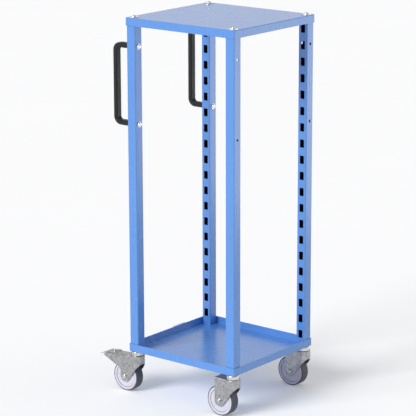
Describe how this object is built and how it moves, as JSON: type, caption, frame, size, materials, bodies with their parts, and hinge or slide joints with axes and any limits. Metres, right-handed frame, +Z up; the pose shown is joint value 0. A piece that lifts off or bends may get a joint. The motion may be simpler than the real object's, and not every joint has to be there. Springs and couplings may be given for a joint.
{
  "type": "mobile rack frame",
  "caption": "Mobile rack frame: top and bottom sheet-steel pans joined by slotted box posts, with two bow handles and swivel castors, the rear ones braked.",
  "frame": {"origin": "on the floor, at the middle of the overall box: midway between the pedal tips and the front edge, on the centre plane", "axes": "+X from the handles to the open front, +Y towards the left of someone pushing at the handles, +Z up"},
  "size_m": [0.5334, 0.4024, 1.171],
  "materials": {
    "blue_paint": "semi-gloss powder coat",
    "zinc": "zinc-plated sheet, satin with a fine spangle",
    "bright_zinc": "bright zinc plate",
    "bare_steel": "polished steel",
    "brass": "machined",
    "black_plastic": "satin moulded",
    "wheel_plastic": "moulded, light grey",
    "tread_rubber": "matt, dark slate",
    "shoe_plastic": "matt"
  },
  "bodies": {
    "frame": {"bottom_pan": "blue_paint", "top_pan": "blue_paint", "post_rear_right": "blue_paint", "post_rear_left": "blue_paint", "post_front_right": "blue_paint", "post_front_left": "blue_paint", "post_foot_plates": "blue_paint", "post_head_plates": "blue_paint", "top_washers": "bright_zinc", "top_screws": "bright_zinc", "handle_right": "black_plastic", "handle_left": "black_plastic", "handle_inserts": "brass", "handle_washers": "bright_zinc", "handle_screws": "bright_zinc", "castor_races": "zinc", "castor_rivets": "zinc", "castor_bolts": "bright_zinc"},
    "swivel_rear_right": {"fork_rear_right": "zinc", "race_balls_rear_right": "bare_steel", "axle_bolt_rear_right": "zinc", "axle_nut_rear_right": "zinc", "axle_sleeve_rear_right": "bare_steel", "pedal_pin_rear_right": "zinc"},
    "wheel_rear_right": {"wheel_centre_rear_right": "wheel_plastic", "tread_rear_right": "tread_rubber"},
    "pedal_rear_right": {"brake_pedal_rear_right": "zinc", "brake_shoe_rear_right": "shoe_plastic", "brake_stud_rear_right": "zinc"},
    "swivel_rear_left": {"fork_rear_left": "zinc", "race_balls_rear_left": "bare_steel", "axle_bolt_rear_left": "zinc", "axle_nut_rear_left": "zinc", "axle_sleeve_rear_left": "bare_steel", "pedal_pin_rear_left": "zinc"},
    "wheel_rear_left": {"wheel_centre_rear_left": "wheel_plastic", "tread_rear_left": "tread_rubber"},
    "pedal_rear_left": {"brake_pedal_rear_left": "zinc", "brake_shoe_rear_left": "shoe_plastic", "brake_stud_rear_left": "zinc"},
    "swivel_front_right": {"fork_front_right": "zinc", "race_balls_front_right": "bare_steel", "axle_bolt_front_right": "zinc", "axle_nut_front_right": "zinc", "axle_sleeve_front_right": "bare_steel"},
    "wheel_front_right": {"wheel_centre_front_right": "wheel_plastic", "tread_front_right": "tread_rubber"},
    "swivel_front_left": {"fork_front_left": "zinc", "race_balls_front_left": "bare_steel", "axle_bolt_front_left": "zinc", "axle_nut_front_left": "zinc", "axle_sleeve_front_left": "bare_steel"},
    "wheel_front_left": {"wheel_centre_front_left": "wheel_plastic", "tread_front_left": "tread_rubber"}
  },
  "joints": [
    {"name": "swivel_rear_right", "type": "hinge", "parent": "frame", "child": "swivel_rear_right", "pos_m": [-0.1267, -0.1767, 0.133], "axis": [0, 0, 1], "continuous": true},
    {"name": "roll_rear_right", "type": "hinge", "parent": "swivel_rear_right", "child": "wheel_rear_right", "pos_m": [-0.1647, -0.1767, 0.047], "axis": [0, 1, 0], "continuous": true},
    {"name": "brake_rear_right", "type": "hinge", "parent": "swivel_rear_right", "child": "pedal_rear_right", "pos_m": [-0.1567, -0.1767, 0.106], "axis": [0, -1, 0], "range_deg": [0, 6]},
    {"name": "swivel_rear_left", "type": "hinge", "parent": "frame", "child": "swivel_rear_left", "pos_m": [-0.1267, 0.1767, 0.133], "axis": [0, 0, 1], "continuous": true},
    {"name": "roll_rear_left", "type": "hinge", "parent": "swivel_rear_left", "child": "wheel_rear_left", "pos_m": [-0.1647, 0.1767, 0.047], "axis": [0, 1, 0], "continuous": true},
    {"name": "brake_rear_left", "type": "hinge", "parent": "swivel_rear_left", "child": "pedal_rear_left", "pos_m": [-0.1567, 0.1767, 0.106], "axis": [0, -1, 0], "range_deg": [0, 6]},
    {"name": "swivel_front_right", "type": "hinge", "parent": "frame", "child": "swivel_front_right", "pos_m": [0.2447, -0.1767, 0.133], "axis": [0, 0, 1], "continuous": true},
    {"name": "roll_front_right", "type": "hinge", "parent": "swivel_front_right", "child": "wheel_front_right", "pos_m": [0.2067, -0.1767, 0.047], "axis": [0, 1, 0], "continuous": true},
    {"name": "swivel_front_left", "type": "hinge", "parent": "frame", "child": "swivel_front_left", "pos_m": [0.2447, 0.1767, 0.133], "axis": [0, 0, 1], "continuous": true},
    {"name": "roll_front_left", "type": "hinge", "parent": "swivel_front_left", "child": "wheel_front_left", "pos_m": [0.2067, 0.1767, 0.047], "axis": [0, 1, 0], "continuous": true}
  ]
}
